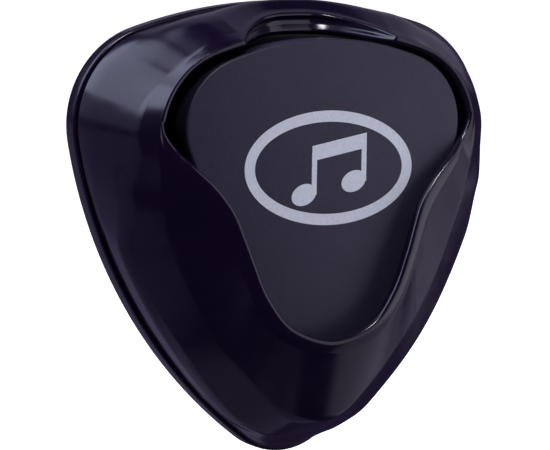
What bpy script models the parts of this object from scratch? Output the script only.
"""Pick holder: a pick-shaped shell with a sprung pressure plate, on an adhesive back.

Sizes are in millimetres and are turned into metres when a mesh is made. The holder stands
upright as it is used: +X is to the right, +Z is up, and the front faces -Y. Depth is counted
forward from the mounting surface at y = 0, so a point at depth d lies at y = -d.
"""

import math

import bmesh
import bpy
import numpy as np
from mathutils import Matrix

MM = 0.001
GAP = 0.3  # clearance between touching pieces

# Depths, forward from the mounting surface
PAD_FRONT = 1.0
BACK_PLATE_REAR = 0.8
PAD_RECESS_END = 1.2
BACK_PLATE_FRONT = 2.5
SHELL_FOOT = BACK_PLATE_FRONT + GAP
PLATFORM_FRONT = 3.2
PLATE_OFFSET = 0.6  # the plate hangs loose in its pocket and rests a little to the right
PLATE_FACE = 10.3
PLATE_FACE_REAR = 9.1
PLATE_SKIRT_REAR = 7.8

# Outlines: heights and radii of the top, corner, side and tip arcs, and the angles from
# the vertical at which the top arc and the corner arc end
BASE = dict(top=20.58, top_r=46.5, corner_r=9.0, side_r=44.0, tip_r=6.4, top_end=17.6, corner_end=99.2)
RIM = dict(top=18.5, top_r=30.0, corner_r=8.0, side_r=36.0, tip_r=6.0, top_end=20.0, corner_end=94.0)
PLATE = dict(top=17.45, top_r=26.5, corner_r=6.35, side_r=110.0, tip_r=6.0, top_end=20.7, corner_end=111.0)
CENTRE_Z = 3.0  # height of the axis that the polar outlines turn around

# Shell sections, at angles in degrees from the top: how far the wall's shoulder is inset
# from the base, the shoulder's depth, the rim's depth and the pocket's inset from the rim
STATION_ANGLES = (0.0, 30.0, 50.0, 72.0, 88.0, 104.0, 139.0, 160.0, 180.0)
SHOULDER_INSET = (1.4, 1.6, 3.3, 3.0, 1.1, -0.1, -0.15, -0.2, 1.8)
SHOULDER_DEPTH = (9.1, 9.2, 9.2, 9.0, 7.6, 6.2, 6.6, 6.2, 6.2)
RIM_DEPTH = (10.6, 10.6, 10.6, 10.6, 9.9, 9.4, 9.4, 9.5, 9.8)
POCKET_INSET = (0.85, 0.7, 0.6, 0.6, 1.0, 1.4, 1.5, 1.6, 1.6)
GROOVE_END = (3.2, 4.2, 5.0, 5.5, 5.5, 5.5, 5.5, 5.6, 5.6)
WALL_BULGE = (0.9, 1.0, 0.3, 0.1, 0.1, 0.0, 0.0, 0.0, 0.0)
SHOULDER_FILLET = (1.2, 1.6, 2.5, 3.5, 5.0, 6.0, 5.0, 3.0, 2.0)
RIM_FILLET = (0.25, 0.25, 0.25, 0.4, 1.2, 1.8, 1.8, 1.8, 1.8)

# Lip: half-width, height and depth of points down its edge, from the rim to the bottom
LIP = (
    (15.25, 10.7, 10.6),
    (15.05, 9.5, 10.6),
    (14.2, 8.1, 10.9),
    (12.9, 6.6, 11.7),
    (10.95, 4.55, 12.25),
    (9.5, 2.5, 12.6),
    (8.65, 0.4, 12.85),
    (7.85, -1.8, 13.05),
    (6.4, -5.2, 13.15),
    (4.0, -8.1, 13.3),
    (0.0, -9.4, 13.4),
)
LIP_HALF_WIDTH = 0.4
LIP_BEVEL = 0.4
LIP_BEVEL_WIDTH = 0.4
LIP_THICKNESS = 1.0
LIP_WIDENING = 8  # stations over which the crest widens into the lip
CREST_WIDTH = 0.5
CREST_EDGE = 0.1
CREST_BEVEL = 0.27
CREST_BEVEL_DEPTH = 0.45
BEZEL_THICKNESS = 0.8
OUTER_WALL = 1.3
INNER_WALL = 1.2

# Thumb notch in the rim's top
NOTCH_DEPTH = 5.7
NOTCH_HALF_WIDTH = 1.2
NOTCH_FLANK_SLOPE = 56.0
NOTCH_CORNER = 4.5
NOTCH_DISH = 0.45

# Resolution
RIM_STATIONS = 38
LIP_STATIONS = 26

# Screws, in X and Z
SCREWS = {"screw_left": (-16.8, 8.5), "screw_right": (16.8, 8.5), "screw_bottom": (0.0, -16.9)}
SCREW_HEAD_R = 1.5
SCREW_HEAD_REAR = 1.25
SCREW_HEAD_FRONT = 1.8
SCREW_SHANK_R = 0.75
SCREW_TIP = 5.3
SCREW_PLAY = 0.2
SCREW_SLOT = (1.7, 0.35, 0.25)
BOSS_R = 1.6
BOSS_REAR = 3.0
BOSS_FRONT = 5.8

# Springs: each a cone of wire, wide end at the back
SPRINGS = {"spring_left": -5.6, "spring_right": 5.6}
SPRING_Z = 3.5
SPRING_BACK_R = 2.9
SPRING_FRONT_R = 1.9
SPRING_WIRE_R = 0.2
SPRING_TURNS = 4.0
SPRING_SEAT_R = 1.5
SPRING_SEAT_FRONT = 4.2

COLOURS = {
    "shell": ((0.011, 0.010, 0.018, 1.0), 0.12, 0.0),
    "back": ((0.011, 0.010, 0.018, 1.0), 0.3, 0.0),
    "plate": ((0.030, 0.028, 0.045, 1.0), 0.5, 0.0),
    "foam": ((0.05, 0.05, 0.055, 1.0), 0.9, 0.0),
    "steel": ((0.55, 0.56, 0.58, 1.0), 0.3, 1.0),
}


# ---------------------------------------------------------------- outlines


def arc_outline(top, top_r, corner_r, side_r, tip_r, top_end, corner_end, steps=60):
    """Right half of a pick shape as (x, z) points, from its top centre down to its tip.

    Four arcs meet tangentially: top, corner, side and tip.
    """

    def towards(angle):
        return np.array([math.sin(angle), math.cos(angle)])

    first, second = math.radians(top_end), math.radians(corner_end)
    top_centre = np.array([0.0, top - top_r])
    corner_centre = top_centre + (top_r - corner_r) * towards(first)
    side_centre = corner_centre + (corner_r - side_r) * towards(second)
    drop = math.sqrt((side_r - tip_r) ** 2 - side_centre[0] ** 2)
    tip_centre = np.array([0.0, side_centre[1] - drop])
    to_tip = tip_centre - side_centre
    third = math.atan2(to_tip[0], to_tip[1])
    arcs = (
        (top_centre, top_r, 0.0, first),
        (corner_centre, corner_r, first, second),
        (side_centre, side_r, second, third),
        (tip_centre, tip_r, third, math.pi),
    )
    points = [centre + radius * towards(angle) for centre, radius, start, end in arcs
              for angle in np.linspace(start, end, steps)[:-1]]
    points.append(tip_centre + tip_r * towards(math.pi))
    return np.array(points)


def polar_radius(outline, angles):
    """Distance of an outline from the centre axis in the given directions."""
    offset = outline - (0.0, CENTRE_Z)
    return np.interp(angles, np.arctan2(offset[:, 0], offset[:, 1]), np.hypot(offset[:, 0], offset[:, 1]))


def polar_points(radius, angles):
    return np.stack([radius * np.sin(angles), CENTRE_Z + radius * np.cos(angles)], axis=1)


def even_points(points, count):
    """Points spread evenly along a polyline."""
    steps = np.linalg.norm(np.diff(points, axis=0), axis=1)
    length = np.concatenate([[0.0], np.cumsum(steps)])
    wanted = np.linspace(0.0, length[-1], count)
    return np.stack([np.interp(wanted, length, points[:, i]) for i in range(points.shape[1])], axis=1)


def smooth_curve(points, steps=24):
    """A Catmull-Rom curve through points that end on the centre line, which it crosses squarely."""
    points = np.asarray(points, float)
    ends = np.vstack([2 * points[0] - points[1], points, points[-2] * (-1, 1, 1)])
    curve = []
    for before, start, end, after in zip(ends, ends[1:], ends[2:], ends[3:]):
        for t in np.linspace(0.0, 1.0, steps, endpoint=False):
            curve.append(0.5 * (2 * start + (end - before) * t
                                + (2 * before - 5 * start + 4 * end - after) * t**2
                                + (3 * start - before - 3 * end + after) * t**3))
    curve.append(points[-1])
    return np.array(curve)


def mirrored_loop(half):
    """A closed loop from a right half that starts and ends on the centre line."""
    return np.vstack([half, (half * [-1, 1])[-2:0:-1]])


def inset_outline(shape, inset, count=48):
    """A closed pick outline, moved in by a constant distance."""
    moved = dict(shape, top=shape["top"] - inset)
    for radius in ("top_r", "corner_r", "side_r", "tip_r"):
        moved[radius] = shape[radius] - inset
    return mirrored_loop(even_points(arc_outline(**moved), count))


# ---------------------------------------------------------------- mesh helpers


def new_material(name):
    colour, roughness, metallic = COLOURS[name]
    material = bpy.data.materials.new(name)
    material.use_nodes = True
    shader = material.node_tree.nodes["Principled BSDF"]
    shader.inputs["Base Color"].default_value = colour
    shader.inputs["Roughness"].default_value = roughness
    shader.inputs["Metallic"].default_value = metallic
    return material


def add_object(name, mesh, collection, material=None):
    obj = bpy.data.objects.new(name, mesh)
    collection.objects.link(obj)
    if material:
        mesh.materials.append(material)
        mesh.shade_smooth()
        mesh.set_sharp_from_angle(angle=math.radians(30))
    return obj


def mesh_from(name, points, faces):
    """A mesh from (x, z, depth) points in millimetres, with its faces turned outwards."""
    mesh = bpy.data.meshes.new(name)
    mesh.from_pydata([(x * MM, -depth * MM, z * MM) for x, z, depth in points], [], faces)
    shape = bmesh.new()
    shape.from_mesh(mesh)
    bmesh.ops.recalc_face_normals(shape, faces=shape.faces)
    shape.to_mesh(mesh)
    shape.free()
    return mesh


def slab(name, outline, rear, front):
    """A closed outline extruded between two depths."""
    count = len(outline)
    points = [(x, z, depth) for depth in (rear, front) for x, z in outline]
    faces = [tuple(range(count)), tuple(range(2 * count - 1, count - 1, -1))]
    faces += [(i, (i + 1) % count, count + (i + 1) % count, count + i) for i in range(count)]
    return mesh_from(name, points, faces)


def rod(name, x, z, radius, rear, front, sides=24, front_radius=None):
    """A cylinder or cone along the depth axis."""
    mesh = bpy.data.meshes.new(name)
    shape = bmesh.new()
    turn = Matrix.Rotation(math.radians(90), 4, "X")
    place = Matrix.Translation((x * MM, -(rear + front) / 2 * MM, z * MM))
    bmesh.ops.create_cone(shape, cap_ends=True, segments=sides, radius1=radius * MM,
                          radius2=(front_radius or radius) * MM, depth=(front - rear) * MM,
                          matrix=place @ turn)
    shape.to_mesh(mesh)
    shape.free()
    return mesh


def cut_or_join(target, mesh, operation, helpers):
    """Adds a Boolean with a helper object made from the mesh."""
    helper = add_object(mesh.name, mesh, helpers)
    helper.hide_render = True
    helper.display_type = "WIRE"
    modifier = target.modifiers.new(mesh.name, "BOOLEAN")
    modifier.operation = operation
    modifier.object = helper
    modifier.solver = "EXACT"


# ---------------------------------------------------------------- front shell


def station_values(angles, values):
    """Section values at any angle, eased between the stations."""
    keys = np.radians(STATION_ANGLES)
    index = np.clip(np.searchsorted(keys, angles, side="right") - 1, 0, len(keys) - 2)
    share = (angles - keys[index]) / (keys[index + 1] - keys[index])
    eased = share * share * (3 - 2 * share)
    values = np.asarray(values)
    return values[index] * (1 - eased) + values[index + 1] * eased


def notch_limit(x):
    """Depth that the rim may reach at a distance x from the centre line."""
    beyond = np.maximum(np.abs(x) - NOTCH_HALF_WIDTH, 0.0)
    slope = math.tan(math.radians(NOTCH_FLANK_SLOPE))
    return NOTCH_DEPTH + slope * (np.sqrt(beyond**2 + NOTCH_CORNER**2) - NOTCH_CORNER)


def rounded_section(corners, radii, steps):
    """A closed section with its corners rounded: each corner gives steps + 1 points."""
    points = []
    for i, corner in enumerate(corners):
        before, after = corners[i - 1] - corner, corners[(i + 1) % len(corners)] - corner
        reach_before, reach_after = np.linalg.norm(before), np.linalg.norm(after)
        before, after = before / reach_before, after / reach_after
        if not steps[i]:
            points.append(corner)
            continue
        half = 0.5 * math.acos(float(np.clip(before @ after, -0.9999, 0.9999)))
        tangent = min(radii[i] / math.tan(half), 0.48 * reach_before, 0.48 * reach_after)
        start, end = corner + before * tangent, corner + after * tangent
        for t in np.linspace(0.0, 1.0, steps[i] + 1):
            # A rational curve of second order with this weight is a circular arc
            weight = math.sin(half)
            blend = (1 - t) ** 2 + 2 * weight * t * (1 - t) + t**2
            points.append(((1 - t) ** 2 * start + 2 * weight * t * (1 - t) * corner + t**2 * end) / blend)
    return np.array(points)


def shell_sections():
    """Sections of the right half of the shell, from the top centre to the tip."""
    rim_outline, base_outline = arc_outline(**RIM), arc_outline(**BASE)
    lip = smooth_curve(LIP)
    start = math.atan2(LIP[0][0], LIP[0][1] - CENTRE_Z)
    rim_even = even_points(rim_outline, 400)
    rim_angles = np.arctan2(rim_even[:, 0], rim_even[:, 1] - CENTRE_Z)
    upper = even_points(rim_even[rim_angles <= start], RIM_STATIONS)
    lower = even_points(rim_even[rim_angles > start], LIP_STATIONS + 1)[1:]
    points = np.vstack([upper, lower])
    angles = np.arctan2(points[:, 0], points[:, 1] - CENTRE_Z)
    radius = polar_radius(rim_outline, angles)
    base_radius = polar_radius(base_outline, angles)
    pocket = polar_points(radius - station_values(angles, POCKET_INSET), angles)
    rim = polar_points(radius, angles)
    rim_depth = station_values(angles, RIM_DEPTH)
    lip_even = even_points(lip, LIP_STATIONS + 1)
    along = np.gradient(lip_even[:, :2], axis=0)
    along[-1] = (-1.0, 0.0)
    outward = np.stack([-along[:, 1], along[:, 0]], axis=1) / np.linalg.norm(along, axis=1)[:, None]

    sections = []
    for i, angle in enumerate(angles):
        def at(distance, depth, angle=angle):
            x, z = polar_points(np.array([distance]), np.array([angle]))[0]
            return np.array([x, z, depth])

        in_lip = i >= RIM_STATIONS
        if in_lip:
            place = i - RIM_STATIONS + 1
            centre = lip_even[place]
            share = min(place / LIP_WIDENING, 1.0)
            half = CREST_WIDTH / 2 * (1 - share) + LIP_HALF_WIDTH * share
            reach_out = half + LIP_BEVEL_WIDTH * share
            outer = np.append(centre[:2] + outward[place] * reach_out, centre[2] - LIP_BEVEL * share)
            bevel = CREST_BEVEL * (1 - share)
            fall = CREST_BEVEL_DEPTH * (1 - share) + LIP_THICKNESS * share
            inner = np.append(centre[:2] - outward[place] * (half - bevel), centre[2])
            under = inner - np.append(outward[place] * bevel, fall)
            crest_depth = rim_depth[i]
        else:
            crest_depth = min(rim_depth[i], float(notch_limit(rim[i][0])))
            outer = at(radius[i] - CREST_EDGE, crest_depth + 0.02)
            crest_end = max(CREST_EDGE + CREST_WIDTH, np.linalg.norm(pocket[i] - rim[i]))
            inner = at(radius[i] - crest_end + CREST_BEVEL, crest_depth)
            under = at(radius[i] - crest_end, crest_depth - CREST_BEVEL_DEPTH)
        reach = np.linalg.norm(pocket[i] - rim[i]) / max(np.linalg.norm(outer[:2] - rim[i]), 1e-6)
        if in_lip:
            ceiling = crest_depth + (outer[2] - crest_depth) * min(reach, 0.9) - BEZEL_THICKNESS
            ceiling = min(ceiling, under[2] - 0.3)
        else:
            ceiling = under[2] - 0.5
        shoulder_depth = float(station_values(angles[i:i + 1], SHOULDER_DEPTH)[0])
        shoulder_inset = float(station_values(angles[i:i + 1], SHOULDER_INSET)[0])
        cut = min(shoulder_depth, crest_depth - 0.9)
        inset = shoulder_inset * (cut - SHELL_FOOT) / (shoulder_depth - SHELL_FOOT)
        rim_point = np.append(rim[i], crest_depth)
        if crest_depth < rim_depth[i]:
            drop = (rim_depth[i] - crest_depth) / (rim_depth[i] - SHELL_FOOT)
            rim_point[:2] += (at(base_radius[i], 0)[:2] - rim[i]) * drop * 0.8
            dish = min((rim_depth[i] - crest_depth) / 1.5, 1.0)
            dished = rim_point + (inner - rim_point) * 0.4 - (0, 0, NOTCH_DISH)
            outer = outer * (1 - dish) + dished * dish
        pocket_radius = np.hypot(*(pocket[i] - (0, CENTRE_Z)))
        wall = base_radius[i] - GAP - pocket_radius
        groove_inner = pocket_radius + min(INNER_WALL, 0.35 * wall)
        groove_outer = base_radius[i] - GAP - min(OUTER_WALL, 0.4 * wall)
        groove_end = float(station_values(angles[i:i + 1], GROOVE_END)[0])
        bulge = float(station_values(angles[i:i + 1], WALL_BULGE)[0])
        corners = [
            at(base_radius[i] - GAP, SHELL_FOOT),
            at(base_radius[i] - GAP - inset / 2 + bulge, (SHELL_FOOT + cut) / 2),
            at(base_radius[i] - GAP - inset, cut),
            rim_point,
            outer,
            inner,
            under,
            np.append(pocket[i], ceiling),
            np.append(pocket[i], SHELL_FOOT),
            at(groove_inner, SHELL_FOOT),
            at(groove_inner, groove_end),
            at(groove_outer - inset * (groove_end - SHELL_FOOT) / (cut - SHELL_FOOT), groove_end),
            at(groove_outer, SHELL_FOOT),
        ]
        radii = [0, 50.0, float(station_values(angles[i:i + 1], SHOULDER_FILLET)[0]),
                 float(station_values(angles[i:i + 1], RIM_FILLET)[0]), 1.5, 0.7, 0.15] + [0] * 6
        steps = [0, 2, 3, 3, 3, 3, 1] + [0] * 6
        sections.append(rounded_section(corners, radii, steps))
    return sections


def shell_mesh():
    right = shell_sections()
    left = [section * [-1, 1, 1] for section in right[-2:0:-1]]
    sections = right + left
    count, around = len(sections[0]), len(sections)
    points = np.vstack(sections)
    faces = [(i * count + j, i * count + (j + 1) % count, (i + 1) % around * count + (j + 1) % count,
              (i + 1) % around * count + j) for i in range(around) for j in range(count)]
    return mesh_from("front_shell", points, faces)


def make_front_shell(parts, helpers):
    shell = add_object("front_shell", shell_mesh(), parts, new_material("shell"))
    for name, (x, z) in SCREWS.items():
        boss = rod("boss_" + name, x, z, BOSS_R, BOSS_REAR, BOSS_FRONT)
        cut_or_join(shell, boss, "UNION", helpers)
        hole = rod("hole_" + name, x, z, SCREW_SHANK_R + SCREW_PLAY, SHELL_FOOT - 1.0, SCREW_TIP + GAP, sides=16)
        cut_or_join(shell, hole, "DIFFERENCE", helpers)


# ---------------------------------------------------------------- other parts


def stack(name, shape, rings, count=48, offset=0.0):
    """A solid through (inset, depth) rings of a pick outline, closed by its first and last ring."""
    outlines = [inset_outline(shape, inset, count) + (offset, 0.0) for inset, _ in rings]
    around = len(outlines[0])
    points = [(x, z, depth) for outline, (_, depth) in zip(outlines, rings) for x, z in outline]
    faces = [tuple(range(around)), tuple(range(len(points) - 1, len(points) - around - 1, -1))]
    for ring in range(len(rings) - 1):
        base = ring * around
        faces += [(base + i, base + (i + 1) % around, base + around + (i + 1) % around, base + around + i)
                  for i in range(around)]
    return mesh_from(name, points, faces)


def rounded_edge(inset, depth, radius, steps=3):
    """Rings that round an edge over, from the side at this inset to a face at this depth."""
    angles = np.linspace(0.0, math.pi / 2, steps + 1)
    return [(inset + radius * (1 - math.cos(a)), depth - radius * (1 - math.sin(a))) for a in angles]


def platform_outline():
    """The raised middle of the back plate, which fits inside the shell's pocket."""
    angles = np.linspace(0.0, math.pi, 60)
    radius = polar_radius(arc_outline(**RIM), angles) - station_values(angles, POCKET_INSET) - GAP
    return mirrored_loop(polar_points(radius, angles))


def make_back_plate(parts, helpers):
    rings = [(0.0, BACK_PLATE_REAR)] + rounded_edge(0.0, BACK_PLATE_FRONT, 0.25)
    plate = add_object("back_plate", stack("back_plate", BASE, rings), parts, new_material("back"))
    platform = slab("platform", platform_outline(), BACK_PLATE_FRONT - 0.4, PLATFORM_FRONT)
    cut_or_join(plate, platform, "UNION", helpers)
    recess = stack("pad_recess", BASE, [(1.3, 0.0), (1.3, PAD_RECESS_END)])
    cut_or_join(plate, recess, "DIFFERENCE", helpers)
    for name, x in SPRINGS.items():
        seat = rod("seat_" + name, x, SPRING_Z, SPRING_SEAT_R, PLATFORM_FRONT - 0.5, SPRING_SEAT_FRONT)
        cut_or_join(plate, seat, "UNION", helpers)
    for name, (x, z) in SCREWS.items():
        head = rod("head_" + name, x, z, SCREW_HEAD_R + SCREW_PLAY, 0.5, SCREW_HEAD_FRONT + 0.1)
        cut_or_join(plate, head, "DIFFERENCE", helpers)
        shank = rod("shank_" + name, x, z, SCREW_SHANK_R + SCREW_PLAY, 0.5, PLATFORM_FRONT + 1.0, sides=16)
        cut_or_join(plate, shank, "DIFFERENCE", helpers)


def make_pressure_plate(parts, helpers):
    rings = [(0.0, PLATE_SKIRT_REAR)] + rounded_edge(0.0, PLATE_FACE, 0.35)
    body = stack("pressure_plate", PLATE, rings, offset=PLATE_OFFSET)
    plate = add_object("pressure_plate", body, parts, new_material("plate"))
    hollow_rings = [(1.0, PLATE_SKIRT_REAR - 1.0), (1.0, PLATE_FACE_REAR)]
    hollow = stack("plate_hollow", PLATE, hollow_rings, offset=PLATE_OFFSET)
    cut_or_join(plate, hollow, "DIFFERENCE", helpers)


def make_spring(name, x, parts):
    """A conical coil between the back plate's platform and the inside of the pressure plate."""
    clearance = 0.1 + SPRING_WIRE_R
    rear, front = PLATFORM_FRONT + clearance, PLATE_FACE_REAR - clearance
    count = int(SPRING_TURNS * 20) + 1
    curve = bpy.data.curves.new(name, "CURVE")
    curve.dimensions = "3D"
    curve.bevel_depth = SPRING_WIRE_R * MM
    curve.bevel_resolution = 2
    curve.use_fill_caps = True
    line = curve.splines.new("POLY")
    line.points.add(count - 1)
    for i, point in enumerate(line.points):
        share = i / (count - 1)
        turn = 2 * math.pi * SPRING_TURNS * share
        radius = SPRING_BACK_R + (SPRING_FRONT_R - SPRING_BACK_R) * share
        depth = rear + (front - rear) * share
        point.co = ((x + radius * math.cos(turn)) * MM, -depth * MM, (SPRING_Z + radius * math.sin(turn)) * MM, 1.0)
    spring = bpy.data.objects.new(name, curve)
    curve.materials.append(new_material("steel"))
    parts.objects.link(spring)


def make_screw(name, x, z, parts, helpers):
    head = rod(name, x, z, SCREW_HEAD_R, SCREW_HEAD_REAR, SCREW_HEAD_FRONT)
    screw = add_object(name, head, parts, new_material("steel"))
    shank = rod("body_" + name, x, z, SCREW_SHANK_R, SCREW_HEAD_FRONT - 0.2, SCREW_TIP, sides=16)
    cut_or_join(screw, shank, "UNION", helpers)
    long, wide, deep = SCREW_SLOT
    for label, width, height in (("slot_x_", long, wide), ("slot_z_", wide, long)):
        corners = [(x + sx * width / 2, z + sz * height / 2) for sx, sz in ((-1, -1), (1, -1), (1, 1), (-1, 1))]
        slot = slab(label + name, corners, SCREW_HEAD_REAR - 0.5, SCREW_HEAD_REAR + deep)
        cut_or_join(screw, slot, "DIFFERENCE", helpers)


def make_adhesive_pad(parts):
    add_object("adhesive_pad", stack("adhesive_pad", BASE, [(1.5, 0.0), (1.5, PAD_FRONT)]), parts,
               new_material("foam"))


def main():
    for obj in list(bpy.data.objects):
        bpy.data.objects.remove(obj)
    parts = bpy.data.collections.new("pick_holder")
    helpers = bpy.data.collections.new("cutters")
    for collection in (parts, helpers):
        bpy.context.scene.collection.children.link(collection)
    make_front_shell(parts, helpers)
    make_back_plate(parts, helpers)
    make_pressure_plate(parts, helpers)
    make_adhesive_pad(parts)
    for name, x in SPRINGS.items():
        make_spring(name, x, parts)
    for name, (x, z) in SCREWS.items():
        make_screw(name, x, z, parts, helpers)


main()
